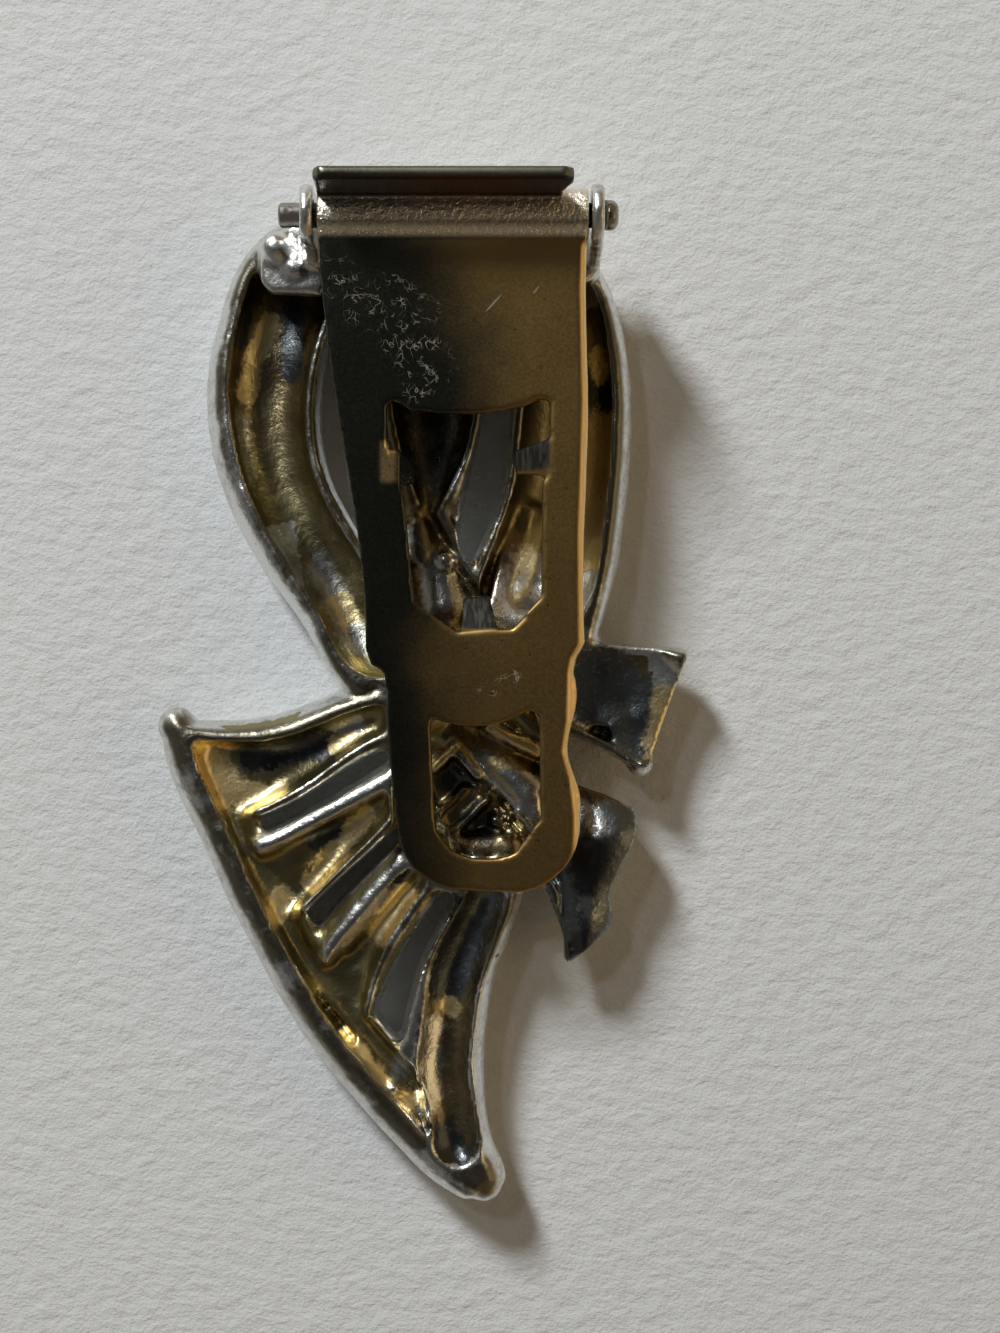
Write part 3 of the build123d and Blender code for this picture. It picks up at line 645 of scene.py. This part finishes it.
def scratchMarks(tree, where):
    marks = 0.0
    for x, y, half, turn in scratches:
        middle = [length / 1000 for length in (x, y, scratchSize["height"])]
        size = [length / 1000 for length in (half, scratchSize["halfWidth"], scratchSize["depth"])]
        near = addNode(tree, "ShaderNodeMapping", {"Vector": where, "Location": middle,
                                                   "Rotation": (0, 0, turn), "Scale": size},
                       vector_type="TEXTURE").outputs[0]
        mark = addNode(tree, "ShaderNodeTexGradient", {"Vector": near}, gradient_type="SPHERICAL")
        marks = maths(tree, "MAXIMUM", ramp(tree, mark.outputs["Fac"], 0.0, 0.35), marks)
    return marks


def leverMetal():
    material, tree, shader = newMaterial("leverSheet")
    where = addNode(tree, "ShaderNodeTexCoord").outputs["Object"]
    grain = noiseOf(tree, where, *lever["grain"])
    flecks = ramp(tree, noiseOf(tree, where, *lever["flecks"]), *lever["fleckEdge"])
    # painted dark reflection over the plate's left side
    colour = mixColour(tree, fieldOf(tree, "paintedDarkReflection"), lever["brass"], lever["dark"])
    colour = mixColour(tree, flecks, colour, lever["dark"])
    # painted highlight along the rolled right edge and on the bent left tooth
    colour = mixColour(tree, fieldOf(tree, "paintedEdgeHighlight"), colour, lever["brightEdge"])
    across = addNode(tree, "ShaderNodeMapping", {"Vector": where, "Scale": lever["streakStretch"]}).outputs[0]
    streaks = ramp(tree, noiseOf(tree, across, *lever["streaks"]), *lever["streakEdge"])
    toothSteel = mixColour(tree, streaks, lever["steel"], lever["darkSteel"])
    colour = mixColour(tree, fieldOf(tree, "steel"), colour, toothSteel)
    colour = mixColour(tree, fieldOf(tree, "nickel"), colour, lever["nickel"])
    colour = mixColour(tree, fieldOf(tree, "flangeEdge"), colour, lever["flangeEdge"])
    # painted reflection on the flange's inner face: blue-black with a red-brown middle
    flangeReflection = mixColour(tree, fieldOf(tree, "ruddyReflection"), lever["blueBlack"], lever["redBrown"])
    colour = mixColour(tree, fieldOf(tree, "flange"), colour, flangeReflection)
    threads = maths(tree, "MAXIMUM", lintThreads(tree, where), scratchMarks(tree, where))
    colour = mixColour(tree, threads, colour, lever["lint"])
    tree.links.new(colour, shader.inputs["Base Color"])
    tree.links.new(maths(tree, "SUBTRACT", 1.0, threads), shader.inputs["Metallic"])
    satin = ramp(tree, grain, *lever["roughness"])
    satin = maths(tree, "MULTIPLY_ADD", fieldOf(tree, "paintedDarkReflection"), lever["paintedReflectionRougher"], satin)
    tree.links.new(satin, shader.inputs["Roughness"])
    tumbled = maths(tree, "MULTIPLY", noiseOf(tree, where, *lever["tumbled"]), fieldOf(tree, "nickel"))
    skin = bumpOf(tree, tumbled, lever["tumbledHeight"])
    tree.links.new(bumpOf(tree, grain, lever["grainHeight"], 0.4, skin), shader.inputs["Normal"])
    return material


def toothField(x, y, name):
    across, along = teeth[name]
    return between(x, *across) * between(y, *along)


def makeLever():
    piece = cadCopy("clip_lever", "leverSheet")
    reskin(piece, lever["voxel"], lever["smoothing"])
    mesh = piece.data
    points = pointsOf(mesh)
    x, y, z = points.T
    edgeY, edgeX = zip(*rightEdge)
    intoEdge = np.clip((x - np.interp(y, edgeY, edgeX)) / lever["rolledEdge"] + 1, 0, 1)
    onPlate = step(y, *lever["plateBelow"])
    z -= lever["rolledDrop"] * intoEdge ** 2 * onPlate
    z += lever["warp"] * noiseAt(points, lever["warpFrequency"]) * onPlate
    setPoints(mesh, points)
    normals = normalsOf(mesh)
    # where the plate's left side is painted dark, a painted reflection of the dark room overhead
    darkY, darkX = zip(*darkUntil)
    drift = sum(share * noiseAt(points, frequency) for frequency, share in lever["darkDrift"])
    writeField(mesh, "paintedDarkReflection", step(np.interp(y, darkY, darkX) - x + drift, *lever["darkFade"]))
    writeField(mesh, "nickel", step(y, *lever["barrelFrom"]) * step(z, *lever["barrelUntil"]))
    writeField(mesh, "flangeEdge", step(z, *lever["flangeFrom"]))
    writeField(mesh, "lint", patchField(x, y, lintAreas) * step(normals[:, 2], 0.7, 0.9))
    writeField(mesh, "steel", np.maximum(toothField(x, y, "right"), toothField(x, y, "low")))
    # the rolled right edge and the bent left tooth are painted bright, a painted highlight
    onEdge = step(intoEdge, *lever["edgeHighlightFrom"]) * onPlate
    writeField(mesh, "paintedEdgeHighlight", np.maximum(onEdge, toothField(x, y, "left")))
    # the flange's inner face takes a painted reflection, blue-black with a red-brown middle
    writeField(mesh, "flange", step(normals[:, 1], -0.2, -0.5) * step(z, *lever["flangeInner"]))
    writeField(mesh, "ruddyReflection", step(np.abs(x - lever["redMiddle"]), *lever["redFade"]))
    place(piece, "lever", "lever_sheet", leverMetal(), "clip_lever")


makeLever()

# Hinge pin: plain steel wire with a domed head
pin = {"steel": (0.46, 0.44, 0.40, 1), "shade": (0.22, 0.19, 0.15, 1), "grain": (2500.0, 3.0),
       "roughness": (0.3, 0.7, 0.2, 0.4), "grainHeight": 0.00003}


def pinMetal():
    material, tree, shader = newMaterial("pinSteel")
    where = addNode(tree, "ShaderNodeTexCoord").outputs["Object"]
    grain = noiseOf(tree, where, *pin["grain"])
    tree.links.new(mixColour(tree, grain, pin["steel"], pin["shade"]), shader.inputs["Base Color"])
    shader.inputs["Metallic"].default_value = 1.0
    tree.links.new(ramp(tree, grain, *pin["roughness"]), shader.inputs["Roughness"])
    tree.links.new(bumpOf(tree, grain, pin["grainHeight"], 0.8), shader.inputs["Normal"])
    return material


def makePin():
    piece = cadCopy("hinge_pin", "hingePin")
    place(piece, "ornament", "pin_steel", pinMetal(), "hinge_pin")


makePin()
